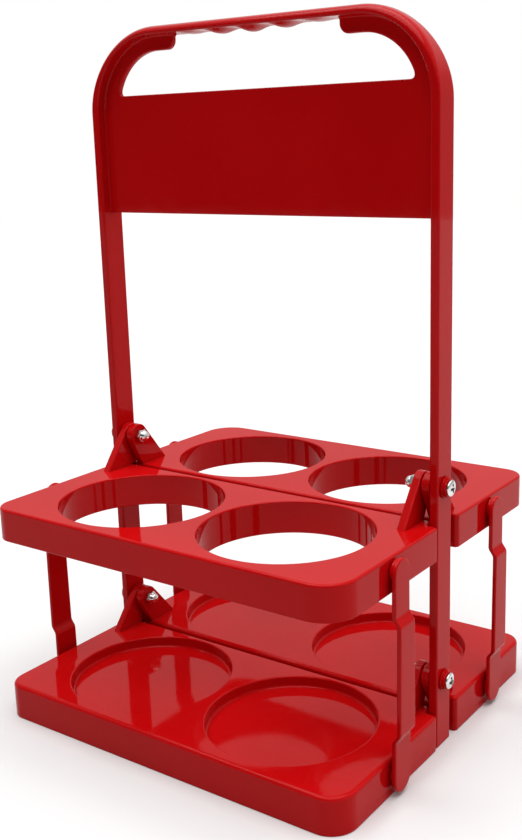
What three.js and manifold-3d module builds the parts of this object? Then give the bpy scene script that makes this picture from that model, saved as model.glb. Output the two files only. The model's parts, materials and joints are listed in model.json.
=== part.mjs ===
// A folding carrier for four bottles: a handle frame of flat bar, an upper and a lower tray that are each
// split into a front and a rear half, and four cranked struts that tie the upper halves to the lower ones.
// The halves hinge on screws through the two arms of the frame and fold up against it.
// Millimetres, +Z up, +X to the right along the front, +Y to the rear.
// The origin is on the floor under the middle of the carrier.

import * as THREE from 'three';
import { mergeVertices } from 'three/addons/utils/BufferGeometryUtils.js';
import Module from 'manifold-3d';

const wasm = await Module();
wasm.setup();

// Driving dimensions of the trays.
const holeDiameter = 72;
const holeBridge = 5;
const sideMargin = 14.5;
const frontMargin = 5.4;
const seamMargin = 2.9;
const seamGap = 2.4;
const upperTrayHeight = 14.5;
const lowerTrayHeight = 16;
const trayPitch = 83.8;
const trayWall = 2.6;
const plateThickness = 2.6;
const holeCollarWall = 3.2;
const upperCornerRadius = 14;
const upperFarCornerRadius = 9.5;
const lowerCornerRadius = 11.5;
const lowerFarCornerRadius = 8.5;
const farEndGap = 4.35;
const endCornerRadius = 2;
const upperEdgeRadius = 1.2;
const lowerEdgeRadius = 1.8;
const rimEdgeRadius = 0.6;
const seatDepth = 5;
const seatFloorThickness = 2.6;

// Driving dimensions of the handle frame.
const handleHeight = 299.4;
const barThickness = 3.9;
const barDepth = 12.1;
const barEdgeRadius = 0.8;
const armSetback = 0.6;
const armFootHeight = 0.2;
const handleCornerRadius = 36;
const rimWidth = 7.5;
const gripTabDepth = 6.4;
const webThickness = 2.6;
const handOpeningHeight = 24.6;
const openingCornerRadius = 3;
const panelHeight = 51.7;
const gripTabLength = 10.1;
const gripTabRadius = 4;
const fingerPitch = 16.6;
const fingerRipple = 2;

// Driving dimensions of the hinges.
const pivotHeight = 29.2;
const earThickness = 3.8;
const earRadius = 5.4;
const earFootLength = 16.8;
const screwDiameter = 3.5;
const headDiameter = 6.8;
const headHeight = 1.4;
const recessLength = 4.4;
const recessWidth = 1.2;
const recessDepth = 0.9;
const recessTurn = 0.08;
const bushFlangeDiameter = 9;
const bushFlangeThickness = 0.8;
const bushStepDiameter = 8;
const bushStepThickness = 1.3;
const bushSleeveDiameter = 6;
const nutAcrossFlats = 5.6;
const nutHexHeight = 2.4;
const nutHeight = 5.2;
const nutDomeDiameter = 5.2;
const nutCrownThickness = 1.2;

// Driving dimensions of the struts.
const strutHeadWidth = 10.8;
const strutFootWidth = 12;
const strutThickness = 1.9;
const strutStandoff = 1.8;
const strutReach = 42;
const strutHeadMargin = 5.4;
const strutFootMargin = 6.8;
const strutPinDiameter = 5;
const strutLipDiameter = 6.2;
const strutLipLength = 1.8;
const strutShoulderDiameter = 9;
const strutJog = 2.2;
const strutJogRise = 3;
const strutUpperPlate = 17.1;
const strutLowerPlate = 16.1;

// Clearances.
const armClearance = 0.4;
const runningClearance = 0.3;
const seatGap = 0.2;

// Fineness of the round stretches.
const holeSegments = 44;
const cornerSegments = 6;
const handleCornerSegments = 12;
const edgeSegments = 2;
const fingerSegments = 8;
const smallRoundSegments = 18;
const earSegments = 14;
const weldDistance = 1e-4;
const overshoot = 1;

// Sizes that follow from the driving dimensions.
const holeRadius = holeDiameter / 2;
const trayHalfWidth = holeBridge / 2 + holeDiameter + sideMargin;
const seamFace = seamGap / 2;
const trayHalfDepth = seamFace + seamMargin + holeDiameter + frontMargin;
const holeX = holeBridge / 2 + holeRadius;
const holeY = -(seamFace + seamMargin + holeRadius);
const frameHalfWidth = trayHalfWidth - armSetback;
const armInnerFace = frameHalfWidth - barThickness;
const earOuterFace = armInnerFace - armClearance;
const earPitch = earThickness + armClearance;
const nutSeat = earOuterFace - earPitch - earThickness - seatGap;
const boreRadius = screwDiameter / 2 + runningClearance;
const strutPlateInner = trayHalfWidth + strutStandoff;
const plateUnderside = Math.min(upperTrayHeight, lowerTrayHeight) - plateThickness;
const strutPinHeight = plateUnderside - strutLipDiameter / 2 - runningClearance;

const redPlastic = { color: 0xc0141a, roughness: 0.28, metalness: 0 };
const platedSteel = { color: 0xd8d9da, roughness: 0.2, metalness: 1 };

// Joins and cuts.

function toSolid(geometry) {
  const bare = geometry.clone();
  bare.deleteAttribute('normal');
  bare.deleteAttribute('uv');
  const welded = mergeVertices(bare, weldDistance);
  const mesh = new wasm.Mesh({
    numProp: 3,
    vertProperties: new Float32Array(welded.attributes.position.array),
    triVerts: new Uint32Array(welded.index.array),
  });
  return new wasm.Manifold(mesh);
}

function toGeometry(solid) {
  const mesh = solid.getMesh();
  const geometry = new THREE.BufferGeometry();
  geometry.setAttribute('position', new THREE.BufferAttribute(mesh.vertProperties, 3));
  geometry.setIndex(new THREE.BufferAttribute(mesh.triVerts, 1));
  geometry.computeVertexNormals();
  return geometry;
}

// Basic forms. A profile drawn in two directions is extruded along the third.

function extrudeUp(shape, bottom, top) {
  const geometry = new THREE.ExtrudeGeometry(shape, {
    depth: top - bottom,
    bevelEnabled: false,
    curveSegments: holeSegments / 2,
  });
  return toSolid(geometry.translate(0, 0, bottom));
}

function extrudeAcross(shape, left, right) {
  const geometry = new THREE.ExtrudeGeometry(shape, { depth: right - left, bevelEnabled: false });
  const turn = new THREE.Matrix4().makeBasis(
    new THREE.Vector3(0, 1, 0),
    new THREE.Vector3(0, 0, 1),
    new THREE.Vector3(1, 0, 0),
  );
  return toSolid(geometry.applyMatrix4(turn).translate(left, 0, 0));
}

function extrudeRearward(shape, depth, edgeRadius) {
  const geometry = new THREE.ExtrudeGeometry(shape, {
    depth: depth - 2 * edgeRadius,
    bevelEnabled: edgeRadius > 0,
    bevelThickness: edgeRadius,
    bevelSize: edgeRadius,
    bevelOffset: -edgeRadius,
    bevelSegments: edgeSegments,
  });
  geometry.translate(0, 0, edgeRadius - depth / 2);
  return toSolid(geometry.rotateX(Math.PI / 2));
}

function turnedAlongX(profile) {
  const points = profile.map(([radius, along]) => new THREE.Vector2(radius, along));
  const geometry = new THREE.LatheGeometry(points, smallRoundSegments);
  return toSolid(geometry.rotateZ(-Math.PI / 2));
}

function rodAlongX(radius, from, to) {
  return turnedAlongX([[0, from], [radius, from], [radius, to], [0, to]]);
}

function uprightRod(radius, x, y, bottom, top) {
  const geometry = new THREE.CylinderGeometry(radius, radius, top - bottom, holeSegments);
  geometry.rotateX(Math.PI / 2);
  return toSolid(geometry.translate(x, y, (top + bottom) / 2));
}

function block(low, high) {
  const size = high.clone().sub(low);
  const centre = high.clone().add(low).multiplyScalar(0.5);
  const geometry = new THREE.BoxGeometry(size.x, size.y, size.z);
  return toSolid(geometry.translate(centre.x, centre.y, centre.z));
}

function arcPoints(centreX, centreY, radius, startAngle, endAngle, segments) {
  const points = [];
  for (let step = 0; step <= segments; step += 1) {
    const angle = startAngle + ((endAngle - startAngle) * step) / segments;
    points.push(new THREE.Vector2(centreX + radius * Math.cos(angle), centreY + radius * Math.sin(angle)));
  }
  return points;
}

// Plan of a front half-tray, drawn a given distance inside its true edge. Both ends stop square in front of
// the arms: the near one, on the right, close to its arm, and the far one with a wider gap.
function trayPlan(level, inset) {
  const side = trayHalfWidth - inset;
  const front = -(trayHalfDepth - inset);
  const seam = -(seamFace + inset);
  const beside = earOuterFace - inset;
  const nearEnd = -(barDepth / 2 + armClearance + inset);
  const farEnd = -(barDepth / 2 + farEndGap + inset);
  const nearCorner = Math.max(level.cornerRadius - inset, endCornerRadius);
  const farCorner = Math.max(level.farCornerRadius - inset, endCornerRadius);
  const endCorner = Math.max(endCornerRadius - inset, weldDistance);
  const quarter = Math.PI / 2;
  const half = Math.PI;
  return new THREE.Shape([
    ...arcPoints(side - nearCorner, front + nearCorner, nearCorner, -quarter, 0, cornerSegments),
    ...arcPoints(side - endCorner, nearEnd - endCorner, endCorner, 0, quarter, edgeSegments),
    new THREE.Vector2(beside, nearEnd),
    new THREE.Vector2(beside, seam),
    new THREE.Vector2(-beside, seam),
    new THREE.Vector2(-beside, farEnd),
    ...arcPoints(endCorner - side, farEnd - endCorner, endCorner, quarter, half, edgeSegments),
    ...arcPoints(farCorner - side, front + farCorner, farCorner, half, half + quarter, cornerSegments),
  ]);
}

// A hinge ear: a foot on the tray and a round eye on the hinge axis, joined by two tangent edges.
function earProfile(footHeight) {
  const footFront = -(seamFace + earFootLength);
  const footRear = -seamFace;
  const rise = pivotHeight - footHeight;
  const tangentAngle = (footY, side) => {
    const distance = Math.hypot(footY, rise);
    const towardsFoot = Math.atan2(-rise, footY);
    return towardsFoot + side * Math.acos(earRadius / distance);
  };
  const rearAngle = tangentAngle(footRear, 1);
  const frontAngle = tangentAngle(footFront, -1) + 2 * Math.PI;
  return new THREE.Shape([
    new THREE.Vector2(footFront, footHeight - plateThickness / 2),
    new THREE.Vector2(footRear - overshoot, footHeight - plateThickness / 2),
    new THREE.Vector2(footRear, footHeight),
    ...arcPoints(0, pivotHeight, earRadius, rearAngle, frontAngle, earSegments),
    new THREE.Vector2(footFront, footHeight),
  ]);
}

// The space of one bottle: a round well from a given floor up, with a rounded rim where it leaves the tray.
function bottleWell(x, floor, top) {
  const rimCentre = holeRadius + rimEdgeRadius;
  const rimBase = top - rimEdgeRadius;
  const rim = arcPoints(rimCentre, rimBase, rimEdgeRadius, Math.PI, Math.PI / 2, edgeSegments);
  const profile = [
    new THREE.Vector2(0, floor),
    new THREE.Vector2(holeRadius, floor),
    ...rim,
    new THREE.Vector2(rimCentre, top + overshoot),
    new THREE.Vector2(0, top + overshoot),
  ];
  const geometry = new THREE.LatheGeometry(profile, holeSegments).rotateX(Math.PI / 2);
  return toSolid(geometry.translate(x, holeY, 0));
}

// A front half-tray on the floor. The rear half is the same moulding turned half a turn.
function halfTray(level) {
  const { height, edgeRadius, hasSeats } = level;
  const body = new THREE.ExtrudeGeometry(trayPlan(level, 0), {
    depth: height,
    bevelThickness: edgeRadius,
    bevelSize: edgeRadius,
    bevelOffset: -edgeRadius,
    bevelSegments: edgeSegments,
  });
  let tray = toSolid(body.translate(0, 0, -edgeRadius));
  tray = tray.subtract(
    block(
      new THREE.Vector3(-trayHalfWidth - overshoot, -trayHalfDepth - overshoot, -2 * edgeRadius - overshoot),
      new THREE.Vector3(trayHalfWidth + overshoot, overshoot, 0),
    ),
  );

  let hollow = extrudeUp(trayPlan(level, trayWall), -overshoot, height - plateThickness);
  for (const x of [-holeX, holeX]) {
    const collarRadius = holeRadius + holeCollarWall;
    hollow = hollow.subtract(uprightRod(collarRadius, x, holeY, -2 * overshoot, height));
  }
  tray = tray.subtract(hollow);

  const seatTop = height - seatDepth;
  for (const x of [-holeX, holeX]) {
    tray = tray.subtract(bottleWell(x, hasSeats ? seatTop : -overshoot, height));
    if (hasSeats) {
      tray = tray.subtract(uprightRod(holeRadius, x, holeY, -overshoot, seatTop - seatFloorThickness));
    }
  }

  const profile = earProfile(height);
  const innerEar = earOuterFace - earPitch;
  tray = tray.add(extrudeAcross(profile, innerEar - earThickness, innerEar));
  tray = tray.add(extrudeAcross(profile, -earOuterFace, earThickness - earOuterFace));

  const bore = rodAlongX(boreRadius, -frameHalfWidth, frameHalfWidth).translate([0, 0, pivotHeight]);
  tray = tray.subtract(bore);

  const pinHoleRadius = strutPinDiameter / 2 + runningClearance;
  for (const side of [-1, 1]) {
    const reach = side * (trayHalfWidth - trayWall / 2);
    const hole = rodAlongX(pinHoleRadius, -trayWall, trayWall);
    tray = tray.subtract(hole.translate([reach, -strutReach, strutPinHeight]));
  }
  return toGeometry(tray);
}

// Handle frame: the bar, its web with the hand opening and the panel, and the hinge holes in the arms.
const cornerCentreX = frameHalfWidth - handleCornerRadius;
const cornerCentreZ = handleHeight - handleCornerRadius;
const barUnderside = handleHeight - barThickness;
const webRoot = barThickness / 2;
const gripHalfLength = cornerCentreX - gripTabLength;
const panelTop = barUnderside - handOpeningHeight;
const panelBottom = panelTop - panelHeight;
const rimRadiusX = handleCornerRadius - barThickness - rimWidth;
const rimRadiusZ = handleCornerRadius - barThickness - gripTabDepth;

// The rises under the grip are highest in the middle and fade out towards its ends; fingers lie between them.
function gripUnderside(x) {
  const fade = Math.cos((Math.PI * x) / (2 * gripHalfLength));
  const wave = (1 + Math.cos((2 * Math.PI * x) / fingerPitch)) / 2;
  return barUnderside - fingerRipple * fade * wave;
}

function gripPoints() {
  const steps = Math.round((2 * gripHalfLength * fingerSegments) / fingerPitch);
  const points = [];
  for (let step = 0; step <= steps; step += 1) {
    const x = gripHalfLength - (2 * gripHalfLength * step) / steps;
    points.push(new THREE.Vector2(x, gripUnderside(x)));
  }
  return points;
}

// An arch drawn a given distance inside the outside of the frame, from the right foot over to the left one.
function archPoints(inset, footZ) {
  const radius = handleCornerRadius - inset;
  const quarter = Math.PI / 2;
  return [
    new THREE.Vector2(frameHalfWidth - inset, footZ),
    ...arcPoints(cornerCentreX, cornerCentreZ, radius, 0, quarter, handleCornerSegments),
    ...arcPoints(-cornerCentreX, cornerCentreZ, radius, quarter, 2 * quarter, handleCornerSegments),
    new THREE.Vector2(inset - frameHalfWidth, footZ),
  ];
}

function barOutline() {
  const outer = archPoints(0, armFootHeight);
  const inner = archPoints(barThickness, armFootHeight);
  const right = inner.slice(0, inner.length / 2);
  const left = inner.slice(inner.length / 2);
  return new THREE.Shape([...outer, ...[...right, ...gripPoints(), ...left].reverse()]);
}

// Half width of the clear space inside the web's rim at a given height.
function rimHalfWidth(z) {
  const rise = Math.max(z - cornerCentreZ, 0) / rimRadiusZ;
  return cornerCentreX + rimRadiusX * Math.sqrt(1 - rise ** 2);
}

function handOpening() {
  const cornerTop = panelTop + openingCornerRadius;
  const arcStart = Math.asin(Math.max((cornerTop - cornerCentreZ) / rimRadiusZ, 0));
  const rimUnderside = cornerCentreZ + rimRadiusZ;
  const tabCentreX = gripHalfLength + gripTabRadius;
  const tabCentreZ = rimUnderside + gripTabRadius;
  const corner = new THREE.QuadraticBezierCurve(
    new THREE.Vector2(rimHalfWidth(panelTop) - openingCornerRadius, panelTop),
    new THREE.Vector2(rimHalfWidth(panelTop), panelTop),
    new THREE.Vector2(rimHalfWidth(cornerTop), cornerTop),
  );
  const arc = arcPoints(0, 0, 1, arcStart, Math.PI / 2, handleCornerSegments);
  const rim = arc.map(
    (point) => new THREE.Vector2(cornerCentreX + rimRadiusX * point.x, cornerCentreZ + rimRadiusZ * point.y),
  );
  const tab = arcPoints(tabCentreX, tabCentreZ, gripTabRadius, -Math.PI / 2, -Math.PI, cornerSegments);
  const top = new THREE.Vector2(gripHalfLength, barUnderside + webRoot / 2);
  const right = [...corner.getPoints(cornerSegments), ...rim.slice(1), ...tab, top];
  const left = right.map((point) => new THREE.Vector2(-point.x, point.y)).reverse();
  return new THREE.Path([...right, ...left]);
}

function handleFrame() {
  const bar = extrudeRearward(barOutline(), barDepth, barEdgeRadius);
  const webOutline = new THREE.Shape(archPoints(barThickness - webRoot, panelBottom));
  webOutline.holes.push(handOpening());
  const web = extrudeRearward(webOutline, webThickness, 0);
  let frame = bar.add(web);
  const holeSize = bushSleeveDiameter / 2 + runningClearance;
  for (const height of [pivotHeight, trayPitch + pivotHeight]) {
    const hole = rodAlongX(holeSize, -frameHalfWidth - overshoot, frameHalfWidth + overshoot);
    frame = frame.subtract(hole.translate([0, 0, height]));
  }
  return toGeometry(frame);
}

// Hinge hardware for the right side, on an axis along X. The left side has the same pieces turned half a turn.
const bushOuterFace = frameHalfWidth + seatGap + bushFlangeThickness + bushStepThickness;
const headSeat = bushOuterFace + seatGap;
const nutBoreEnd = nutSeat - nutHeight + nutCrownThickness;

function pivotBush() {
  const flange = bushFlangeDiameter / 2;
  const step = bushStepDiameter / 2;
  const sleeve = bushSleeveDiameter / 2;
  const seat = frameHalfWidth + seatGap;
  return toGeometry(
    turnedAlongX([
      [boreRadius, armInnerFace],
      [sleeve, armInnerFace],
      [sleeve, seat],
      [flange, seat],
      [flange, seat + bushFlangeThickness],
      [step, seat + bushFlangeThickness],
      [step, bushOuterFace],
      [boreRadius, bushOuterFace],
      [boreRadius, armInnerFace],
    ]),
  );
}

function pivotScrew() {
  const shank = screwDiameter / 2;
  const head = headDiameter / 2;
  const shankEnd = nutBoreEnd + runningClearance;
  const headTop = headSeat + headHeight;
  const crown = arcPoints(0, 0, 1, 0, Math.PI / 2, cornerSegments);
  let screw = turnedAlongX([
    [0, shankEnd],
    [shank, shankEnd],
    [shank, headSeat],
    ...crown.map((point) => [head * point.x, headSeat + headHeight * point.y]),
  ]);
  for (const turn of [recessTurn, recessTurn + Math.PI / 2]) {
    const slot = new THREE.BoxGeometry(2 * recessDepth, recessLength, recessWidth);
    screw = screw.subtract(toSolid(slot.rotateX(turn).translate(headTop, 0, 0)));
  }
  return toGeometry(screw);
}

// A cap nut with a closed dome, turned so that one of its flats faces up.
function capNut() {
  const hexRadius = nutAcrossFlats / Math.sqrt(3);
  const hexBottom = nutSeat - nutHexHeight;
  const hexSides = 6;
  const flatUp = Math.PI / hexSides;
  const hex = new THREE.CylinderGeometry(hexRadius, hexRadius, nutHexHeight, hexSides, 1, false, flatUp);
  hex.rotateZ(Math.PI / 2).translate(nutSeat - nutHexHeight / 2, 0, 0);
  const domeRadius = nutDomeDiameter / 2;
  const domeBase = nutSeat - nutHeight + domeRadius;
  const dome = arcPoints(0, 0, domeRadius, -Math.PI / 2, 0, cornerSegments);
  const crown = turnedAlongX([
    ...dome.map((point) => [point.x, domeBase + point.y]),
    [domeRadius, hexBottom + nutHexHeight / 2],
    [0, hexBottom + nutHexHeight / 2],
  ]);
  const bore = rodAlongX(boreRadius, nutBoreEnd, nutSeat + overshoot);
  return toGeometry(toSolid(hex).add(crown).subtract(bore));
}

// A strut for the right side, with its pins on the line y = 0. Its plates lie beside the trays and its middle
// part is cranked outwards.
function strut() {
  const lowerPin = strutPinHeight;
  const upperPin = trayPitch + strutPinHeight;
  const top = upperPin + strutHeadMargin;
  const bottom = lowerPin - strutFootMargin;
  const upperBend = upperPin - strutUpperPlate;
  const lowerBend = lowerPin + strutLowerPlate;
  const inner = [
    new THREE.Vector2(strutPlateInner, bottom),
    new THREE.Vector2(strutPlateInner, lowerBend),
    new THREE.Vector2(strutPlateInner + strutJog, lowerBend + strutJogRise),
    new THREE.Vector2(strutPlateInner + strutJog, upperBend - strutJogRise),
    new THREE.Vector2(strutPlateInner, upperBend),
    new THREE.Vector2(strutPlateInner, top),
  ];
  const outer = inner.map((point) => new THREE.Vector2(point.x + strutThickness, point.y)).reverse();
  const widest = Math.max(strutHeadWidth, strutFootWidth);
  const strip = extrudeRearward(new THREE.Shape([...inner, ...outer]), widest, 0);

  const headRound = strutHeadWidth / 2;
  const footRound = strutFootWidth / 2;
  const face = new THREE.Shape([
    ...arcPoints(0, top - headRound, headRound, 0, Math.PI, earSegments),
    ...arcPoints(0, bottom + footRound, footRound, Math.PI, 2 * Math.PI, earSegments),
  ]);
  const outside = strutPlateInner + strutJog + strutThickness;
  let link = strip.intersect(extrudeAcross(face, strutPlateInner - overshoot, outside + overshoot));

  const pin = strutPinDiameter / 2;
  const lip = strutLipDiameter / 2;
  const shoulder = strutShoulderDiameter / 2;
  const shoulderFace = trayHalfWidth + runningClearance;
  const lipFace = trayHalfWidth - trayWall - runningClearance;
  for (const height of [lowerPin, upperPin]) {
    const snapPin = turnedAlongX([
      [0, lipFace - strutLipLength],
      [pin, lipFace - strutLipLength],
      [lip, lipFace],
      [pin, lipFace],
      [pin, shoulderFace],
      [shoulder, shoulderFace],
      [shoulder, strutPlateInner + strutThickness / 2],
      [0, strutPlateInner + strutThickness / 2],
    ]);
    link = link.add(snapPin.translate([0, 0, height]));
  }
  return toGeometry(link);
}

// The assembled carrier.

function piece(name, geometry, finish) {
  const mesh = new THREE.Mesh(geometry, new THREE.MeshStandardMaterial(finish));
  mesh.name = name;
  return mesh;
}

const carrier = new THREE.Group();
carrier.add(piece('handle_frame', handleFrame(), redPlastic));

const ends = [
  { name: 'front', turn: 0, y: -strutReach },
  { name: 'rear', turn: Math.PI, y: strutReach },
];
const sides = [
  { name: 'right', turn: 0 },
  { name: 'left', turn: Math.PI },
];
const levels = [
  {
    name: 'upper',
    z: trayPitch,
    height: upperTrayHeight,
    cornerRadius: upperCornerRadius,
    farCornerRadius: upperFarCornerRadius,
    edgeRadius: upperEdgeRadius,
    hasSeats: false,
  },
  {
    name: 'lower',
    z: 0,
    height: lowerTrayHeight,
    cornerRadius: lowerCornerRadius,
    farCornerRadius: lowerFarCornerRadius,
    edgeRadius: lowerEdgeRadius,
    hasSeats: true,
  },
];

for (const level of levels) {
  for (const end of ends) {
    const tray = piece(`${level.name}_${end.name}_tray`, halfTray(level), redPlastic);
    tray.position.z = level.z;
    tray.rotation.z = end.turn;
    carrier.add(tray);
  }
  for (const side of sides) {
    const hinge = new THREE.Group();
    hinge.position.z = level.z + pivotHeight;
    hinge.rotation.z = side.turn;
    hinge.add(piece(`${level.name}_${side.name}_bush`, pivotBush(), redPlastic));
    hinge.add(piece(`${level.name}_${side.name}_screw`, pivotScrew(), platedSteel));
    hinge.add(piece(`${level.name}_${side.name}_cap_nut`, capNut(), platedSteel));
    carrier.add(hinge);
  }
}

for (const end of ends) {
  for (const side of sides) {
    const link = piece(`${end.name}_${side.name}_strut`, strut(), redPlastic);
    link.position.y = end.y;
    link.rotation.z = side.turn;
    carrier.add(link);
  }
}

export default carrier;
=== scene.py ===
"""Looks of a folding carrier for four bottles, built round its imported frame, in metres."""

import json
import logging
import math
from dataclasses import dataclass, field
from enum import Enum
from typing import Callable, Dict, List, Sequence, Tuple

import bmesh
import bpy
from mathutils import Matrix, Vector


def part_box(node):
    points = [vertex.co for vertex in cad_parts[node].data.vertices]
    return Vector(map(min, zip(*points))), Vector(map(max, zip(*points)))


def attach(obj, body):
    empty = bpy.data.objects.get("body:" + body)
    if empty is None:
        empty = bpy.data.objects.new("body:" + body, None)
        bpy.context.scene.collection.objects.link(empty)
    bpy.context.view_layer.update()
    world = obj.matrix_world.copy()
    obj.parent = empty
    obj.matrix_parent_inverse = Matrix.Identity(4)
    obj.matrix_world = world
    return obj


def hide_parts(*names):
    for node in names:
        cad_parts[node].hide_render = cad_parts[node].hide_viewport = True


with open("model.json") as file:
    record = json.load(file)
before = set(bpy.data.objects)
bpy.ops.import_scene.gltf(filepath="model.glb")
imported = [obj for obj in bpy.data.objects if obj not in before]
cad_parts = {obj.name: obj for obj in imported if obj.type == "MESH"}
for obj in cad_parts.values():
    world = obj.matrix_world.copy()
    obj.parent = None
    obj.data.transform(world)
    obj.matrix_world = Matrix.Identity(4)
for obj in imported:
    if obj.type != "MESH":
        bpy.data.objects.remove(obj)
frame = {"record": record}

Point = Tuple[float, float]
Outline = List[Point]
Loop = List[Vector]
Place = Callable[[float, float, float], Vector]
Colour = Tuple[float, float, float]

QUARTER = math.pi / 2
HALF_TURN = math.pi
FULL_TURN = 2 * math.pi
WHITE: Colour = (1.0, 1.0, 1.0)
log = logging.getLogger("bottle_carrier")


class Slot(Enum):
    """Material slots of the record."""

    PLASTIC = "red_plastic"
    STEEL = "plated_steel"


class End(Enum):
    """The two ends of the carrier, as turns about the upright axis."""

    FRONT = 0.0
    REAR = HALF_TURN


class Side(Enum):
    """The two sides of the carrier, as turns about the upright axis."""

    RIGHT = 0.0
    LEFT = HALF_TURN


class Level(Enum):
    """The two storeys of trays."""

    UPPER = "upper"
    LOWER = "lower"


class Cut(Enum):
    """Ways to combine two closed meshes."""

    JOIN = "UNION"
    REMOVE = "DIFFERENCE"
    COMMON = "INTERSECT"


# Outlines and closed meshes.


def upright(u: float, v: float, w: float) -> Vector:
    """Places an outline drawn in plan, raised along Z."""
    return Vector((u, v, w))


def across(u: float, v: float, w: float) -> Vector:
    """Places an outline drawn in the Y and Z directions, thickened along X."""
    return Vector((w, u, v))


def rearward(u: float, v: float, w: float) -> Vector:
    """Places an outline drawn in the X and Z directions, thickened along Y."""
    return Vector((u, w, v))


def along_x(y: float, z: float, side: int = 1) -> Place:
    """Places a turned profile on an axis along X."""
    return lambda u, v, w: Vector((side * w, u + y, v + z))


def arc(centre: Point, radius: float, start: float, end: float, steps: int) -> Outline:
    """Points along a circle from one angle to another, in radians, with both ends."""
    angles = [start + (end - start) * step / steps for step in range(steps + 1)]
    return [(centre[0] + radius * math.cos(a), centre[1] + radius * math.sin(a)) for a in angles]


def inset(outline: Outline, distance: float) -> Outline:
    """Moves each side of a closed outline inwards, keeping its number of points.

    Args:
        outline: Points in counter-clockwise order.
        distance: How far the sides move in, or out where it is negative.

    Returns:
        The new outline.
    """
    sharpest = 0.3
    made = []
    for index, point in enumerate(outline):
        here = Vector(point)
        arriving = (here - Vector(outline[index - 1])).normalized()
        leaving = (Vector(outline[(index + 1) % len(outline)]) - here).normalized()
        normal = Vector((-arriving.y, arriving.x))
        middle = (normal + Vector((-leaving.y, leaving.x))).normalized()
        moved = here + middle * (distance / max(middle.dot(normal), sharpest))
        made.append((moved.x, moved.y))
    return made


def closed_mesh(points: Sequence[Vector], faces: Sequence[Sequence[int]]) -> bpy.types.Mesh:
    """Makes a mesh from points and faces, merged and with its faces turned outwards.

    Args:
        points: The mesh's points.
        faces: Point numbers of each face.

    Returns:
        The mesh.
    """
    weld = 1e-7
    mesh = bpy.data.meshes.new("piece")
    mesh.from_pydata([tuple(point) for point in points], [], [tuple(face) for face in faces])
    work = bmesh.new()
    work.from_mesh(mesh)
    bmesh.ops.remove_doubles(work, verts=work.verts, dist=weld)
    bmesh.ops.recalc_face_normals(work, faces=work.faces)
    work.to_mesh(mesh)
    work.free()
    return mesh


def bands(rows: int, count: int) -> List[List[int]]:
    """Faces between neighbouring rows of points.

    Args:
        rows: Number of rows.
        count: Points in each closed row.

    Returns:
        Point numbers of each face.
    """
    faces = []
    for row in range(rows - 1):
        low, high = row * count, (row + 1) * count
        for index in range(count):
            after = (index + 1) % count
            faces.append([low + index, low + after, high + after, high + index])
    return faces


def loft(loops: Sequence[Loop]) -> bpy.types.Mesh:
    """Joins closed loops of equal length, one after another, into a mesh with flat ends.

    Args:
        loops: The loops, in order.

    Returns:
        The mesh.
    """
    count = len(loops[0])
    points = [point for loop in loops for point in loop]
    ends = [list(range(count)), list(range(len(points) - count, len(points)))]
    return closed_mesh(points, bands(len(loops), count) + ends)


def edge_rounding(radius: float, steps: int) -> List[Point]:
    """Inset and rise along a rounded edge, from its flat face to its side.

    Args:
        radius: The edge's radius, or 0 for a sharp edge.
        steps: Number of straight steps.

    Returns:
        Inset and rise of each row.
    """
    if radius == 0:
        return [(0.0, 0.0)]
    turns = [QUARTER * step / steps for step in range(steps + 1)]
    return [(radius * (1 - math.sin(turn)), radius * (1 - math.cos(turn))) for turn in turns]


def rounded_prism(
    outline: Outline,
    span: Tuple[float, float],
    radii: Tuple[float, float],
    place: Place,
    steps: int = 5,
) -> bpy.types.Mesh:
    """A thick outline with rounded edges.

    Args:
        outline: Points in counter-clockwise order.
        span: Lowest and highest level.
        radii: Edge radius at the lowest and at the highest level.
        place: Turns outline coordinates and a level into a point.
        steps: Steps round each edge.

    Returns:
        The mesh.
    """
    rows = [(moved, span[0] + rise) for moved, rise in edge_rounding(radii[0], steps)]
    rows += [(moved, span[1] - rise) for moved, rise in reversed(edge_rounding(radii[1], steps))]
    return loft([[place(u, v, level) for u, v in inset(outline, moved)] for moved, level in rows])


def flared_cutter(
    outline: Outline,
    span: Tuple[float, float],
    radius: float,
    place: Place,
    steps: int = 5,
) -> bpy.types.Mesh:
    """A cutter for a hole through a plate, flared at both faces so that it leaves rounded edges.

    Args:
        outline: The hole's points in counter-clockwise order.
        span: Levels of the plate's two faces.
        radius: Radius of the edges that it leaves.
        place: Turns outline coordinates and a level into a point.
        steps: Steps round each edge.

    Returns:
        The mesh.
    """
    beyond = span[1] - span[0]
    flare = edge_rounding(radius, steps)
    rows = [(radius, span[0] - beyond)]
    rows += [(grow, span[0] + rise) for grow, rise in flare]
    rows += [(grow, span[1] - rise) for grow, rise in reversed(flare)]
    rows += [(radius, span[1] + beyond)]
    return loft([[place(u, v, level) for u, v in inset(outline, -grow)] for grow, level in rows])


def turned(profile: Outline, place: Place, steps: int) -> bpy.types.Mesh:
    """A profile of radius and height, turned round an axis.

    Args:
        profile: Radius and height of each point; it starts and ends on the axis or closes on itself.
        place: Turns two cross directions and a height into a point.
        steps: Number of steps in a full turn.

    Returns:
        The mesh.
    """
    circle = arc((0, 0), 1.0, 0, FULL_TURN, steps)[:-1]
    points = [place(radius * u, radius * v, height) for radius, height in profile for u, v in circle]
    return closed_mesh(points, bands(len(profile), steps))


def cylinder(radius: float, span: Tuple[float, float], place: Place, steps: int) -> bpy.types.Mesh:
    """A plain cylinder between two heights, for joins and cuts."""
    low, high = span
    return turned([(0, low), (radius, low), (radius, high), (0, high)], place, steps)


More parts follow.
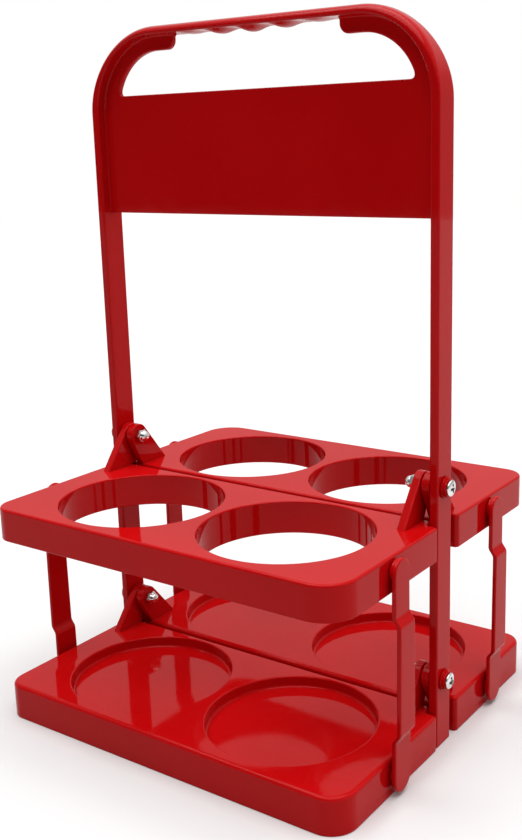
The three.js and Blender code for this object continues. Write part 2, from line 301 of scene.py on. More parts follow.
def combine(base: bpy.types.Mesh, tool: bpy.types.Mesh, cut: Cut) -> bpy.types.Mesh:
    """Joins one closed mesh to another, cuts it out or keeps what both share.

    Args:
        base: The mesh that is changed.
        tool: The mesh that is added, taken away or shared.
        cut: What is done.

    Returns:
        The combined mesh; the two given ones are removed.
    """
    holders = [bpy.data.objects.new("work", mesh) for mesh in (base, tool)]
    for holder in holders:
        bpy.context.scene.collection.objects.link(holder)
    modifier = holders[0].modifiers.new("combine", "BOOLEAN")
    modifier.operation = cut.value
    modifier.solver = "EXACT"
    modifier.object = holders[1]
    graph = bpy.context.evaluated_depsgraph_get()
    made = bpy.data.meshes.new_from_object(holders[0].evaluated_get(graph))
    for holder, mesh in zip(holders, (base, tool)):
        bpy.data.objects.remove(holder)
        bpy.data.meshes.remove(mesh)
    return made


# Shader node groups that several finishes share.


class NodeMaker:
    """Adds and links shader nodes in one tree."""

    # Places of the share, the two colours and the mixed colour among the sockets of a mix node.
    MIX_SHARE, MIX_FIRST, MIX_SECOND, MIXED = 0, 6, 7, 2

    def __init__(self, tree: bpy.types.NodeTree) -> None:
        """Keeps the tree that is filled."""
        self.tree = tree

    def add(self, kind: str, **settings: object) -> bpy.types.Node:
        """Adds a node.

        Args:
            kind: The node's type name.
            settings: Properties of the node to set.

        Returns:
            The node.
        """
        node = self.tree.nodes.new(kind)
        for name, value in settings.items():
            setattr(node, name, value)
        return node

    def link(self, source: bpy.types.NodeSocket, target: bpy.types.NodeSocket) -> None:
        """Links an output to an input."""
        self.tree.links.new(source, target)

    def feed(self, socket: bpy.types.NodeSocket, value: object) -> None:
        """Links a socket to an input, or sets the input to a number or a colour.

        Args:
            socket: The input.
            value: Socket, number, colour or direction.
        """
        if isinstance(value, bpy.types.NodeSocket):
            self.link(value, socket)
        else:
            socket.default_value = (*value, 1.0) if socket.type == "RGBA" else value

    def math(self, operation: str, *inputs: object) -> bpy.types.NodeSocket:
        """Adds a math node.

        Args:
            operation: The operation's name.
            inputs: Sockets or numbers, in order.

        Returns:
            The result's socket.
        """
        node = self.add("ShaderNodeMath", operation=operation)
        for index, value in enumerate(inputs):
            self.feed(node.inputs[index], value)
        return node.outputs[0]

    def dot(self, first: bpy.types.NodeSocket, second: object) -> bpy.types.NodeSocket:
        """Adds a dot product of a vector with another vector or a fixed direction.

        Args:
            first: The vector's socket.
            second: Socket or fixed direction.

        Returns:
            The result's socket.
        """
        node = self.add("ShaderNodeVectorMath", operation="DOT_PRODUCT")
        self.link(first, node.inputs[0])
        self.feed(node.inputs[1], second)
        return node.outputs["Value"]

    def ramp(self, value: bpy.types.NodeSocket, low: float, high: float) -> bpy.types.NodeSocket:
        """Adds a smooth step of a value.

        Args:
            value: The value's socket.
            low: Value that gives 0.
            high: Value that gives 1.

        Returns:
            The result's socket.
        """
        node = self.add("ShaderNodeMapRange", interpolation_type="SMOOTHSTEP", clamp=True)
        self.link(value, node.inputs["Value"])
        node.inputs["From Min"].default_value = low
        node.inputs["From Max"].default_value = high
        return node.outputs["Result"]

    def spread(self, mask: bpy.types.NodeSocket, low: float, high: float) -> bpy.types.NodeSocket:
        """Spreads a mask between two values."""
        return self.math("MULTIPLY_ADD", mask, high - low, low)

    def reflected(self, rays: bpy.types.bpy_prop_collection) -> bpy.types.NodeSocket:
        """Adds a mask of the rays that mirrors and glass send on."""
        return self.math("MAXIMUM", rays["Is Glossy Ray"], rays["Is Transmission Ray"])

    def mix(self, amount: bpy.types.NodeSocket, first: object, second: object) -> bpy.types.NodeSocket:
        """Adds a colour mix.

        Args:
            amount: Socket of the share of the second colour.
            first: Socket or colour at 0.
            second: Socket or colour at 1.

        Returns:
            The result's socket.
        """
        node = self.add("ShaderNodeMix", data_type="RGBA")
        self.link(amount, node.inputs[self.MIX_SHARE])
        self.feed(node.inputs[self.MIX_FIRST], first)
        self.feed(node.inputs[self.MIX_SECOND], second)
        return node.outputs[self.MIXED]


class EffectGroup(NodeMaker):
    """A shader node group with named inputs and one output."""

    def __init__(self, name: str, inputs: Dict[str, float], output: str) -> None:
        """Makes the empty group.

        Args:
            name: The group's name.
            inputs: Name and first value of each input.
            output: Name of the output.
        """
        super().__init__(bpy.data.node_groups.new(name, "ShaderNodeTree"))
        for label, value in inputs.items():
            socket = self.tree.interface.new_socket(label, in_out="INPUT", socket_type="NodeSocketFloat")
            socket.default_value = value
        self.tree.interface.new_socket(output, in_out="OUTPUT", socket_type="NodeSocketFloat")
        self.given = self.add("NodeGroupInput").outputs
        self.result = self.add("NodeGroupOutput").inputs[output]

    def noise(self, scale: bpy.types.NodeSocket, detail: float) -> bpy.types.NodeSocket:
        """Adds a noise over the object's own coordinates.

        Args:
            scale: Socket of the noise's scale.
            detail: Number of finer layers.

        Returns:
            The noise value's socket.
        """
        node = self.add("ShaderNodeTexNoise", noise_dimensions="3D")
        self.link(self.add("ShaderNodeTexCoord").outputs["Object"], node.inputs["Vector"])
        self.link(scale, node.inputs["Scale"])
        node.inputs["Detail"].default_value = detail
        return node.outputs["Fac"]

    def normal(self) -> bpy.types.NodeSocket:
        """Adds the surface's own normal."""
        return self.add("ShaderNodeNewGeometry").outputs["Normal"]


def mottle_group() -> bpy.types.NodeTree:
    """Slow, cloudy variation, as left by the flow of a moulding or by tarnish.

    Returns:
        The node group, whose Mask runs from 0 to 1.
    """
    layers = 3.0
    thin, thick = 0.35, 0.65
    group = EffectGroup("mottle", {"Scale": 40.0}, "Mask")
    cloud = group.noise(group.given["Scale"], layers)
    group.link(group.ramp(cloud, thin, thick), group.result)
    return group.tree


def grain_group() -> bpy.types.NodeTree:
    """Fine surface relief: the faint orange peel of a polished mould, or the grain of plating.

    Returns:
        The node group, whose Height runs from 0 to 1.
    """
    coarse_layers, fine_layers = 1.0, 2.0
    fine_ratio = 4.0
    group = EffectGroup("surface_grain", {"Scale": 900.0, "Fine share": 0.3}, "Height")
    coarse = group.noise(group.given["Scale"], coarse_layers)
    finer = group.math("MULTIPLY", group.given["Scale"], fine_ratio)
    fine = group.math("MULTIPLY", group.noise(finer, fine_layers), group.given["Fine share"])
    group.link(group.math("ADD", coarse, fine), group.result)
    return group.tree


def worn_edge_group() -> bpy.types.NodeTree:
    """Edges and corners that handling has rubbed, broken up by noise.

    Returns:
        The node group, whose Mask is 1 on a worn edge.
    """
    layers = 4.0
    samples = 4
    slight_bend, full_bend = 0.01, 0.12
    kept, rubbed = 0.42, 0.68
    group = EffectGroup("worn_edges", {"Radius": 0.0006, "Break up scale": 160.0}, "Mask")
    soft = group.add("ShaderNodeBevel", samples=samples)
    group.link(group.given["Radius"], soft.inputs["Radius"])
    bend = group.math("SUBTRACT", 1.0, group.dot(soft.outputs["Normal"], group.normal()))
    edge = group.ramp(bend, slight_bend, full_bend)
    broken = group.ramp(group.noise(group.given["Break up scale"], layers), kept, rubbed)
    group.link(group.math("MULTIPLY", edge, broken), group.result)
    return group.tree


def crevice_shade_group() -> bpy.types.NodeTree:
    """Painted shade that darkens corners and recesses, found by ambient occlusion.

    Returns:
        The node group, whose Mask is 1 in a deep recess.
    """
    samples = 6
    open_corner, deep_recess = 0.2, 0.7
    # painted shade: the mask is 1 where ambient occlusion finds the surface closed in
    group = EffectGroup("crevice_grime", {"Reach": 0.002}, "Mask")
    shelter = group.add("ShaderNodeAmbientOcclusion", samples=samples, only_local=True)
    group.link(group.given["Reach"], shelter.inputs["Distance"])
    closed = group.math("SUBTRACT", 1.0, shelter.outputs["AO"])
    group.link(group.ramp(closed, open_corner, deep_recess), group.result)
    return group.tree


def dust_group() -> bpy.types.NodeTree:
    """A thin film of dust on what faces up.

    Returns:
        The node group, whose Mask is 1 where dust lies.
    """
    layers = 6.0
    sloping, level = 0.6, 1.0
    clean, dusty = 0.5, 0.8
    group = EffectGroup("settled_dust", {"Scale": 220.0}, "Mask")
    parts = group.add("ShaderNodeSeparateXYZ")
    group.link(group.normal(), parts.inputs[0])
    upward = group.ramp(parts.outputs["Z"], sloping, level)
    specks = group.ramp(group.noise(group.given["Scale"], layers), clean, dusty)
    group.link(group.math("MULTIPLY", upward, specks), group.result)
    return group.tree


@dataclass(frozen=True)
class Effects:
    """The shared node groups, made once."""

    mottle: bpy.types.NodeTree = field(default_factory=mottle_group)
    grain: bpy.types.NodeTree = field(default_factory=grain_group)
    worn_edge: bpy.types.NodeTree = field(default_factory=worn_edge_group)
    crevice: bpy.types.NodeTree = field(default_factory=crevice_shade_group)
    dust: bpy.types.NodeTree = field(default_factory=dust_group)


# Finishes.


class Finish(NodeMaker):
    """A material under construction round one Principled shader."""

    def __init__(self, name: str) -> None:
        """Starts a material.

        Args:
            name: The material's name.
        """
        self.material = bpy.data.materials.new(name)
        self.material.use_nodes = True
        super().__init__(self.material.node_tree)
        self.shader = self.tree.nodes["Principled BSDF"]

    def effect(self, group: bpy.types.NodeTree, **values: float) -> bpy.types.NodeSocket:
        """Places a shared group in the material.

        Args:
            group: The group.
            values: Its input values, with underscores for spaces.

        Returns:
            The group's output socket.
        """
        node = self.add("ShaderNodeGroup", node_tree=group)
        for name, value in values.items():
            node.inputs[name.replace("_", " ").capitalize()].default_value = value
        return node.outputs[0]

    def share(self, mask: bpy.types.NodeSocket, most: float) -> bpy.types.NodeSocket:
        """Weakens a mask."""
        return self.math("MULTIPLY", mask, most)

    def relief(self, height: bpy.types.NodeSocket, depth: float, strength: float) -> None:
        """Raises the surface by a height.

        Args:
            height: The height's socket.
            depth: Depth of the relief, in metres.
            strength: Share of the relief that is felt.
        """
        bump = self.add("ShaderNodeBump")
        bump.inputs["Distance"].default_value = depth
        bump.inputs["Strength"].default_value = strength
        self.link(height, bump.inputs["Height"])
        self.link(bump.outputs["Normal"], self.shader.inputs["Normal"])

    def set(self, **values: object) -> None:
        """Sets plain values on the shader's own sockets.

        Args:
            values: Value of each socket, with underscores for the spaces in its name.
        """
        names = {name.replace("_", " ").lower(): value for name, value in values.items()}
        for socket in self.shader.inputs:
            if socket.name.lower() in names:
                socket.default_value = names[socket.name.lower()]


@dataclass(frozen=True)
class MouldedPlastic:
    """Glossy moulded plastic, coloured all through."""

    name: str = "moulded_red"
    deep: Colour = (0.485, 0.0024, 0.0032)
    light: Colour = (0.515, 0.0031, 0.0042)
    worn: Colour = (0.57, 0.016, 0.018)
    dust: Colour = (0.56, 0.060, 0.055)
    # painted shade: a darker red laid into corners and recesses
    painted_shade: Colour = (0.20, 0.001, 0.0015)
    flow_scale: float = 14.0
    wear_radius: float = 0.0005
    wear_scale: float = 240.0
    wear_share: float = 0.15
    dust_scale: float = 420.0
    dust_share: float = 0.05
    painted_shade_reach: float = 0.0025
    painted_shade_share: float = 0.35
    haze_scale: float = 140.0
    wear_haze: float = 0.9
    gloss_range: Tuple[float, float] = (0.035, 0.07)
    peel_scale: float = 520.0
    peel_fine_share: float = 0.25
    peel_depth: float = 0.00002
    peel_strength: float = 0.35
    refraction: float = 1.5
    specular: float = 0.085

    def material(self, effects: Effects) -> bpy.types.Material:
        """Builds the material.

        Args:
            effects: The shared node groups.

        Returns:
            The material.
        """
        finish = Finish(self.name)
        flow = finish.effect(effects.mottle, scale=self.flow_scale)
        rubbed = finish.effect(effects.worn_edge, radius=self.wear_radius, break_up_scale=self.wear_scale)
        film = finish.effect(effects.dust, scale=self.dust_scale)
        # painted shade: this mask marks the corners and recesses that are darkened
        corners = finish.effect(effects.crevice, reach=self.painted_shade_reach)
        colour = finish.mix(flow, self.deep, self.light)
        colour = finish.mix(finish.share(rubbed, self.wear_share), colour, self.worn)
        colour = finish.mix(finish.share(film, self.dust_share), colour, self.dust)
        # Painted shade: corners and recesses are darkened towards a deep red.
        colour = finish.mix(finish.share(corners, self.painted_shade_share), colour, self.painted_shade)
        finish.link(colour, finish.shader.inputs["Base Color"])
        haze = finish.effect(effects.mottle, scale=self.haze_scale)
        dull = finish.math("ADD", haze, finish.share(rubbed, self.wear_haze))
        finish.link(finish.spread(dull, *self.gloss_range), finish.shader.inputs["Roughness"])
        peel = finish.effect(effects.grain, scale=self.peel_scale, fine_share=self.peel_fine_share)
        finish.relief(peel, self.peel_depth, self.peel_strength)
        finish.set(specular_ior_level=self.specular, ior=self.refraction, metallic=0.0)
        return finish.material


@dataclass(frozen=True)
class PlatedSteel:
    """Bright plated steel of the screws and nuts."""

    name: str = "bright_plating"
    clean: Colour = (0.80, 0.80, 0.79)
    tarnish: Colour = (0.55, 0.53, 0.50)
    worn: Colour = (0.90, 0.90, 0.90)
    # painted shade: near black laid into the cross recess and other hollows
    painted_shade: Colour = (0.035, 0.03, 0.028)
    cloud_scale: float = 380.0
    tarnish_share: float = 0.45
    wear_radius: float = 0.0003
    wear_scale: float = 900.0
    painted_shade_reach: float = 0.0016
    painted_shade_share: float = 0.95
    recess_haze: float = 3.0
    gloss_range: Tuple[float, float] = (0.05, 0.14)
    grain_scale: float = 2600.0
    grain_fine_share: float = 0.4
    grain_depth: float = 0.00001
    grain_strength: float = 0.3

    def material(self, effects: Effects) -> bpy.types.Material:
        """Builds the material.

        Args:
            effects: The shared node groups.

        Returns:
            The material.
        """
        finish = Finish(self.name)
        cloud = finish.effect(effects.mottle, scale=self.cloud_scale)
        rubbed = finish.effect(effects.worn_edge, radius=self.wear_radius, break_up_scale=self.wear_scale)
        # painted shade: this mask marks the hollows that are darkened, and made rougher below
        recess = finish.effect(effects.crevice, reach=self.painted_shade_reach)
        colour = finish.mix(finish.share(cloud, self.tarnish_share), self.clean, self.tarnish)
        colour = finish.mix(rubbed, colour, self.worn)
        # Painted shade: the hollows are darkened almost to black.
        colour = finish.mix(finish.share(recess, self.painted_shade_share), colour, self.painted_shade)
        finish.link(colour, finish.shader.inputs["Base Color"])
        dull = finish.math("ADD", cloud, finish.share(recess, self.recess_haze))
        finish.link(finish.spread(dull, *self.gloss_range), finish.shader.inputs["Roughness"])
        grain = finish.effect(effects.grain, scale=self.grain_scale, fine_share=self.grain_fine_share)
        finish.relief(grain, self.grain_depth, self.grain_strength)
        finish.set(metallic=1.0)
        return finish.material


# Sub-assemblies.


@dataclass
class SubAssembly:
    """Pieces that are built together and dressed by their material slots."""

    pieces: List[Tuple[bpy.types.Object, Slot]] = field(default_factory=list, init=False)

    def build(self) -> None:
        """Builds the pieces in place."""
        raise NotImplementedError

    def show(self, name: str, mesh: bpy.types.Mesh, node: str, slot: Slot) -> None:
        """Shows a mesh as a smooth-shaded piece that stands for a node and rides on its body.

        Args:
            name: The piece's name.
            mesh: Its mesh, in place.
            node: The node that it stands for.
            slot: The record's material slot.
        """
        crease = math.radians(32)
        piece = bpy.data.objects.new(name, mesh)
        mesh.name = name
        bpy.context.scene.collection.objects.link(piece)
        mesh.shade_smooth()
        mesh.set_sharp_from_angle(angle=crease)
        weighted = piece.modifiers.new("even_normals", "WEIGHTED_NORMAL")
        weighted.keep_sharp = True
        bodies: Dict[str, List[str]] = frame["record"]["behaviour"]["bodies"]
        body = next(body for body, nodes in bodies.items() if node in nodes)
        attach(piece, body)
        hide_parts(node)
        self.pieces.append((piece, slot))
        log.info("%s stands for %s on %s: %d faces", name, node, body, len(mesh.polygons))

    def dress(self, finishes: Dict[Slot, bpy.types.Material]) -> None:
        """Gives each piece the finish of its slot.

        Args:
            finishes: The material of each slot.
        """
        for piece, slot in self.pieces:
            piece.data.materials.clear()
            piece.data.materials.append(finishes[slot])


@dataclass
class HandleFrame(SubAssembly):
    """The inverted U of flat bar with its finger grip, web and panel, and the two arms."""

    node: str = "handle_frame"
    bar_thickness: float = 0.0039
    arm_edge: float = 0.0008
    grip_crown_width: float = 0.0055
    grip_crown_depth: float = 0.0030
    corner_radius: float = 0.036
    rim_width: float = 0.0075
    tab_depth: float = 0.0064
    tab_length: float = 0.0101
    tab_radius: float = 0.004
    web_thickness: float = 0.0026
    web_edge: float = 0.0006
    web_root: float = 0.0018
    root_fillet: float = 0.0009
    opening_height: float = 0.0246
    opening_corner: float = 0.003
    panel_height: float = 0.0517
    finger_pitch: float = 0.0166
    finger_rise: float = 0.0023
    finger_crown: float = 3.0
    sleeve_hole: float = 0.0033
    pivot_heights: Tuple[float, float] = (0.0292, 0.1130)
    corner_steps: int = 28
    grip_steps: int = 96
    small_steps: int = 8
    bore_steps: int = 42

    def __post_init__(self) -> None:
        """Takes the outer sizes from the frame."""
        low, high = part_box(self.node)
        self.half_width = high.x
        self.half_depth = high.y
        self.top = high.z
        self.foot = low.z
        self.centre_x = self.half_width - self.corner_radius
        self.centre_z = self.top - self.corner_radius
        self.bar_underside = self.top - self.bar_thickness
        self.panel_top = self.bar_underside - self.opening_height
        self.panel_bottom = self.panel_top - self.panel_height
        self.grip_half = self.centre_x - self.tab_length
        self.rim_radius_x = self.corner_radius - self.bar_thickness - self.rim_width
        self.rim_radius_z = self.corner_radius - self.bar_thickness - self.tab_depth

    def finger(self, x: float) -> float:
        """Depth of the rises under the grip; fingers lie between them.

        Args:
            x: Distance from the middle of the grip.

        Returns:
            The depth below the bar's flat underside.
        """
        if abs(x) >= self.grip_half:
            return 0.0
        fade = math.cos(QUARTER * x / self.grip_half)
        return self.finger_rise * fade * (1 + math.cos(FULL_TURN * x / self.finger_pitch)) / 2

    def arch(self, inset_by: float, low: float) -> Outline:
        """An arch inside the outside of the bar, from the right foot over to the left one.

        Args:
            inset_by: Distance inside the outside of the bar.
            low: Height of the two ends.

        Returns:
            Points of the arch.
        """
        radius = self.corner_radius - inset_by
        side = self.half_width - inset_by
        right = arc((self.centre_x, self.centre_z), radius, 0, QUARTER, self.corner_steps)
        left = arc((-self.centre_x, self.centre_z), radius, QUARTER, HALF_TURN, self.corner_steps)
        return [(side, low), *right, *left, (-side, low)]

    def inward(self, x: float, z: float) -> Vector:
        """Direction from a point of the arch towards the inside of the bend."""
        beside = math.copysign(max(abs(x) - self.centre_x, 0.0), x)
        return -Vector((beside, 0, max(z - self.centre_z, 0.0))).normalized()

    def stations(self) -> List[Tuple[Vector, Vector]]:
        """Stations along the bar, with closer ones along the grip.

        Returns:
            Points on the outside of the bar and the inward direction at each of them.
        """
        made = [(Vector((x, 0, z)), self.inward(x, z)) for x, z in self.arch(0.0, self.foot)]
        middle = len(made) // 2
        step_length = 2 * self.centre_x / self.grip_steps
        crest = []
        for step in range(1, self.grip_steps):
            crest.append((Vector((self.centre_x - step_length * step, 0, self.top)), Vector((0, 0, -1))))
        return made[:middle] + crest + made[middle:]

    def section(self, x: float, lift: float) -> Outline:
        """Rounded section of the bar as depth below its outside and place along Y.

        Args:
            x: Place along the carrier's width, for the finger rises.
            lift: How far the outside looks up here, from 0 on the arms to 1 on the grip.

        Returns:
            Points of the section.
        """
        crown_steps = 10
        round_steps = 6
        flat_steps = 12
        ease = lift * lift * (3 - 2 * lift)
        edge = self.arm_edge
        wide = edge + (self.grip_crown_width - edge) * ease
        tall = edge + (self.grip_crown_depth - edge) * ease
        crown = []
        for u, v in arc((0, 0), 1.0, 0, QUARTER, crown_steps):
            crown.append((tall * (1 - v), self.half_depth - wide * (1 - u)))
        side = self.half_depth - edge
        deep = self.bar_thickness - edge
        rise = self.finger(x) if lift == 1.0 else 0.0
        under = [side - 2 * side * step / flat_steps for step in range(flat_steps + 1)]
        flat = [(self.bar_thickness + rise * (1 - abs(v / side) ** self.finger_crown), v) for v in under]
        return [
            *[(depth, -v) for depth, v in crown],
            *reversed(crown),
            *arc((deep, side), edge, QUARTER, 0, round_steps)[:-1],
            *flat,
            *arc((deep, -side), edge, 0, -QUARTER, round_steps)[1:],
        ]

    def bar(self) -> bpy.types.Mesh:
        """Sweeps the bar with its finger rises round the arch.

        Returns:
            The bar.
        """
        loops = []
        for point, inward in self.stations():
            section = self.section(point.x, -inward.z)
            loops.append([point + inward * deep + Vector((0, v, 0)) for deep, v in section])
        return loft(loops)

    def rim_half_width(self, z: float) -> float:
        """Half width of the clear space inside the web's rim at a height."""
        rise = max(z - self.centre_z, 0.0) / self.rim_radius_z
        return self.centre_x + self.rim_radius_x * math.sqrt(1 - rise * rise)

    def opening(self) -> Outline:
        """Outline of the hand opening in the web.

        Returns:
            Points in counter-clockwise order.
        """
        corner_top = self.panel_top + self.opening_corner
        start = math.asin(max((corner_top - self.centre_z) / self.rim_radius_z, 0.0))
        wide = self.rim_half_width(self.panel_top)
        drawn_in = wide - self.rim_half_width(corner_top)
        corner = []
        for step in range(self.small_steps + 1):
            t = step / self.small_steps
            x = wide - self.opening_corner * (1 - t) ** 2 - drawn_in * t * t
            corner.append((x, self.panel_top + self.opening_corner * t * t))
        rim = []
        for u, v in arc((0, 0), 1.0, start, QUARTER, self.corner_steps)[1:]:
            rim.append((self.centre_x + self.rim_radius_x * u, self.centre_z + self.rim_radius_z * v))
        tab_foot = self.centre_z + self.rim_radius_z
        tab_centre = (self.grip_half + self.tab_radius, tab_foot + self.tab_radius)
        tab = arc(tab_centre, self.tab_radius, -QUARTER, -HALF_TURN, self.small_steps)
        top = (self.grip_half, self.bar_underside + self.web_root / 2)
        right = [*corner, *rim, *tab, top]
        return right + [(-x, z) for x, z in reversed(right)]

    def web(self) -> bpy.types.Mesh:
        """Makes the thin web with the hand opening and the panel.

        Returns:
            The web, sunk into the bar.
        """
        half = self.web_thickness / 2
        outline = self.arch(self.bar_thickness - self.web_root, self.panel_bottom)
        plate = rounded_prism(outline, (-half, half), (self.web_edge, self.web_edge), rearward)
        cutter = flared_cutter(self.opening(), (-half, half), self.web_edge, rearward)
        return combine(plate, cutter, Cut.REMOVE)

    def root(self, side: Side, face: float) -> bpy.types.Mesh:
        """The small fillet where the web meets the bar on one side.

        Args:
            side: Which half of the arch.
            face: 1 for the rear face of the web, -1 for its front face.

        Returns:
            The fillet, sunk into both.
        """
        round_steps = 6
        half = self.web_thickness / 2
        sunk = self.web_thickness / 4
        size = self.root_fillet
        sign = 1 if side is Side.RIGHT else -1
        curve = arc((size, half + size), size, -QUARTER, -HALF_TURN, round_steps)
        section = [(-sunk, half - sunk), (size, half - sunk), *curve, (-sunk, half + size)]
        path = self.arch(self.bar_thickness, self.panel_bottom + self.web_edge)
        stations = path[: len(path) // 2] + [(self.grip_half, self.bar_underside)]
        loops = []
        for x, z in stations:
            inward = self.inward(x, z)
            loop = [Vector((x, 0, z)) + inward * deep + Vector((0, face * v, 0)) for deep, v in section]
            loops.append([Vector((sign * p.x, p.y, p.z)) for p in loop])
        return loft(loops)

    def build(self) -> None:
        """Builds the moulding."""
        moulding = combine(self.bar(), self.web(), Cut.JOIN)
        for side in Side:
            for face in (-1.0, 1.0):
                moulding = combine(moulding, self.root(side, face), Cut.JOIN)
        reach = 2 * self.half_width
        for height in self.pivot_heights:
            bore = cylinder(self.sleeve_hole, (-reach, reach), along_x(0, height), self.bore_steps)
            moulding = combine(moulding, bore, Cut.REMOVE)
        self.show("handle_frame_moulding", moulding, self.node, Slot.PLASTIC)


@dataclass
class HalfTray(SubAssembly):
    """One half of a tray: two round bottle spaces, a hollow underside and two hinge ears."""

    level: Level
    end: End
    height: float
    corner_radius: float
    far_corner_radius: float
    edge_radius: float
    hole_diameter: float = 0.072
    hole_bridge: float = 0.005
    seam_margin: float = 0.0029
    seam_face: float = 0.0012
    wall: float = 0.0026
    plate: float = 0.0026
    collar_wall: float = 0.0032
    end_corner: float = 0.002
    far_end_gap: float = 0.00435
    arm_clearance: float = 0.0004
    foot_radius: float = 0.0005
    rim_edge: float = 0.0007
    seat_depth: float = 0.005
    seat_floor: float = 0.0026
    seat_corner: float = 0.0012
    pivot_rise: float = 0.0292
    ear_thickness: float = 0.0038
    ear_radius: float = 0.0054
    ear_foot: float = 0.0168
    ear_edge: float = 0.0006
    bore_radius: float = 0.00205
    pin_hole_radius: float = 0.0028
    pin_reach: float = 0.042
    pin_height: float = 0.0085
    corner_steps: int = 18
    end_steps: int = 8
    edge_steps: int = 7
    rim_steps: int = 6
    hole_steps: int = 128
    bore_steps: int = 36
    beyond: float = 0.001

    def __post_init__(self) -> None:
        """Takes the outer sizes from the frame."""
        self.node = f"{self.level.value}_{self.end.name.lower()}_tray"
        low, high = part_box(f"{self.level.value}_front_tray")
        arm_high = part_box("handle_frame")[1]
        self.half_width = high.x
        self.half_depth = -low.y
        self.underside = low.z
        self.arm_half_depth = arm_high.y
        self.ear_outer = arm_high.x - HandleFrame.bar_thickness - self.arm_clearance
        self.hole_radius = self.hole_diameter / 2
        self.hole_x = self.hole_bridge / 2 + self.hole_radius
        self.hole_y = -(self.seam_face + self.seam_margin + self.hole_radius)

    def plan(self, margin: float = 0.0) -> Outline:
        """Plan of a front half, close to one arm and with a wider gap to the other.

        Args:
            margin: How far the outline lies inside the tray's outer faces.

        Returns:
            Points in counter-clockwise order.
        """
        front, seam = margin - self.half_depth, -(self.seam_face + margin)
        near_end = -(self.arm_half_depth + self.arm_clearance + margin)
        far_end = -(self.arm_half_depth + self.far_end_gap + margin)
        near, far = self.corner_radius - margin, self.far_corner_radius - margin
        end = max(self.end_corner - margin, 2 * self.foot_radius)
        side, beside = self.half_width - margin, self.ear_outer - margin
        return [
            *arc((side - near, front + near), near, -QUARTER, 0, self.corner_steps),
            *arc((side - end, near_end - end), end, 0, QUARTER, self.end_steps),
            (beside, near_end),
            (beside, seam),
            (-beside, seam),
            (-beside, far_end),
            *arc((end - side, far_end - end), end, QUARTER, HALF_TURN, self.end_steps),
            *arc((far - side, front + far), far, HALF_TURN, HALF_TURN + QUARTER, self.corner_steps),
        ]

    def at_hole(self, x: float) -> Place:
        """Places a turned profile on the axis of a bottle space."""
        return lambda u, v, w: Vector((u + x, v + self.hole_y, w))

    def well(self, x: float) -> bpy.types.Mesh:
        """Cutter for one bottle space, with a rounded rim and, in a seat, a rounded floor corner.

        Args:
            x: Place of the space along the width.

        Returns:
            The cutter.
        """
        radius, top = self.hole_radius, self.height + self.beyond
        rim_centre = (radius + self.rim_edge, self.height - self.rim_edge)
        rim = arc(rim_centre, self.rim_edge, HALF_TURN, QUARTER, self.rim_steps)
        if self.level is Level.LOWER:
            floor = self.height - self.seat_depth
            corner = (radius - self.seat_corner, floor + self.seat_corner)
            foot = [(0, floor), *arc(corner, self.seat_corner, -QUARTER, 0, self.rim_steps)]
        else:
            lip_centre = (radius + self.foot_radius, self.foot_radius)
            lip = arc(lip_centre, self.foot_radius, HALF_TURN + QUARTER, HALF_TURN, self.rim_steps)
            foot = [(0, -self.beyond), (lip_centre[0], -self.beyond), *lip]
        return turned([*foot, *rim, (rim_centre[0], top), (0, top)], self.at_hole(x), self.hole_steps)

    def ear_outline(self) -> Outline:
        """Side view of a hinge ear: a foot on the tray and a round eye, joined by straight edges.

        Returns:
            Points in counter-clockwise order.
        """
        rise = self.pivot_rise - self.height
        foot_front = -(self.seam_face + self.ear_foot)
        foot_rear = -self.seam_face
        sunk = self.height - self.plate / 2

        def tangent(foot_y: float, side: int) -> float:
            """Angle on the eye where an edge from the foot touches it."""
            return math.atan2(-rise, foot_y) + side * math.acos(self.ear_radius / math.hypot(foot_y, rise))

        start = tangent(foot_rear, 1)
        end = tangent(foot_front, -1) + FULL_TURN
        return [
            (foot_front, sunk),
            (foot_rear - self.beyond, sunk),
            (foot_rear, self.height),
            *arc((0, self.pivot_rise), self.ear_radius, start, end, 2 * self.corner_steps),
            (foot_front, self.height),
        ]

    def shell(self) -> bpy.types.Mesh:
        """Makes the tray's plate and walls with its hollow underside and bottle spaces.

        Returns:
            The tray without its ears and bores.
        """
        radii = (self.foot_radius, self.edge_radius)
        tray = rounded_prism(self.plan(), (0, self.height), radii, upright, self.edge_steps)
        pocket_span = (-self.beyond, self.height - self.plate)
        pocket = rounded_prism(self.plan(self.wall), pocket_span, (0, self.foot_radius), upright)
        collar_radius = self.hole_radius + self.collar_wall
        collar_span = (-2 * self.beyond, self.height)
        under_span = (-self.beyond, self.height - self.seat_depth - self.seat_floor)
        for x in (-self.hole_x, self.hole_x):
            collar = cylinder(collar_radius, collar_span, self.at_hole(x), self.hole_steps)
            pocket = combine(pocket, collar, Cut.REMOVE)
        tray = combine(tray, pocket, Cut.REMOVE)
        for x in (-self.hole_x, self.hole_x):
            tray = combine(tray, self.well(x), Cut.REMOVE)
            if self.level is Level.LOWER:
                under = cylinder(self.hole_radius, under_span, self.at_hole(x), self.hole_steps)
                tray = combine(tray, under, Cut.REMOVE)
        return tray

    def build(self) -> None:
        """Builds the half tray in place."""
        tray = self.shell()
        edges = (self.ear_edge, self.ear_edge)
        inner = self.ear_outer - self.ear_thickness - self.arm_clearance
        for outer in (inner, self.ear_thickness - self.ear_outer):
            span = (outer - self.ear_thickness, outer)
            tray = combine(tray, rounded_prism(self.ear_outline(), span, edges, across), Cut.JOIN)
        wide = self.half_width + self.beyond
        bore = cylinder(self.bore_radius, (-wide, wide), along_x(0, self.pivot_rise), self.bore_steps)
        tray = combine(tray, bore, Cut.REMOVE)
        near = self.half_width - 2 * self.wall
        for side in (-1, 1):
            place = along_x(-self.pin_reach, self.pin_height, side)
            hole = cylinder(self.pin_hole_radius, (near, wide), place, self.bore_steps)
            tray = combine(tray, hole, Cut.REMOVE)
        turn = Matrix.Rotation(self.end.value, 4, "Z")
        tray.transform(Matrix.Translation((0, 0, self.underside)) @ turn)
        self.show(f"{self.node}_moulding", tray, self.node, Slot.PLASTIC)


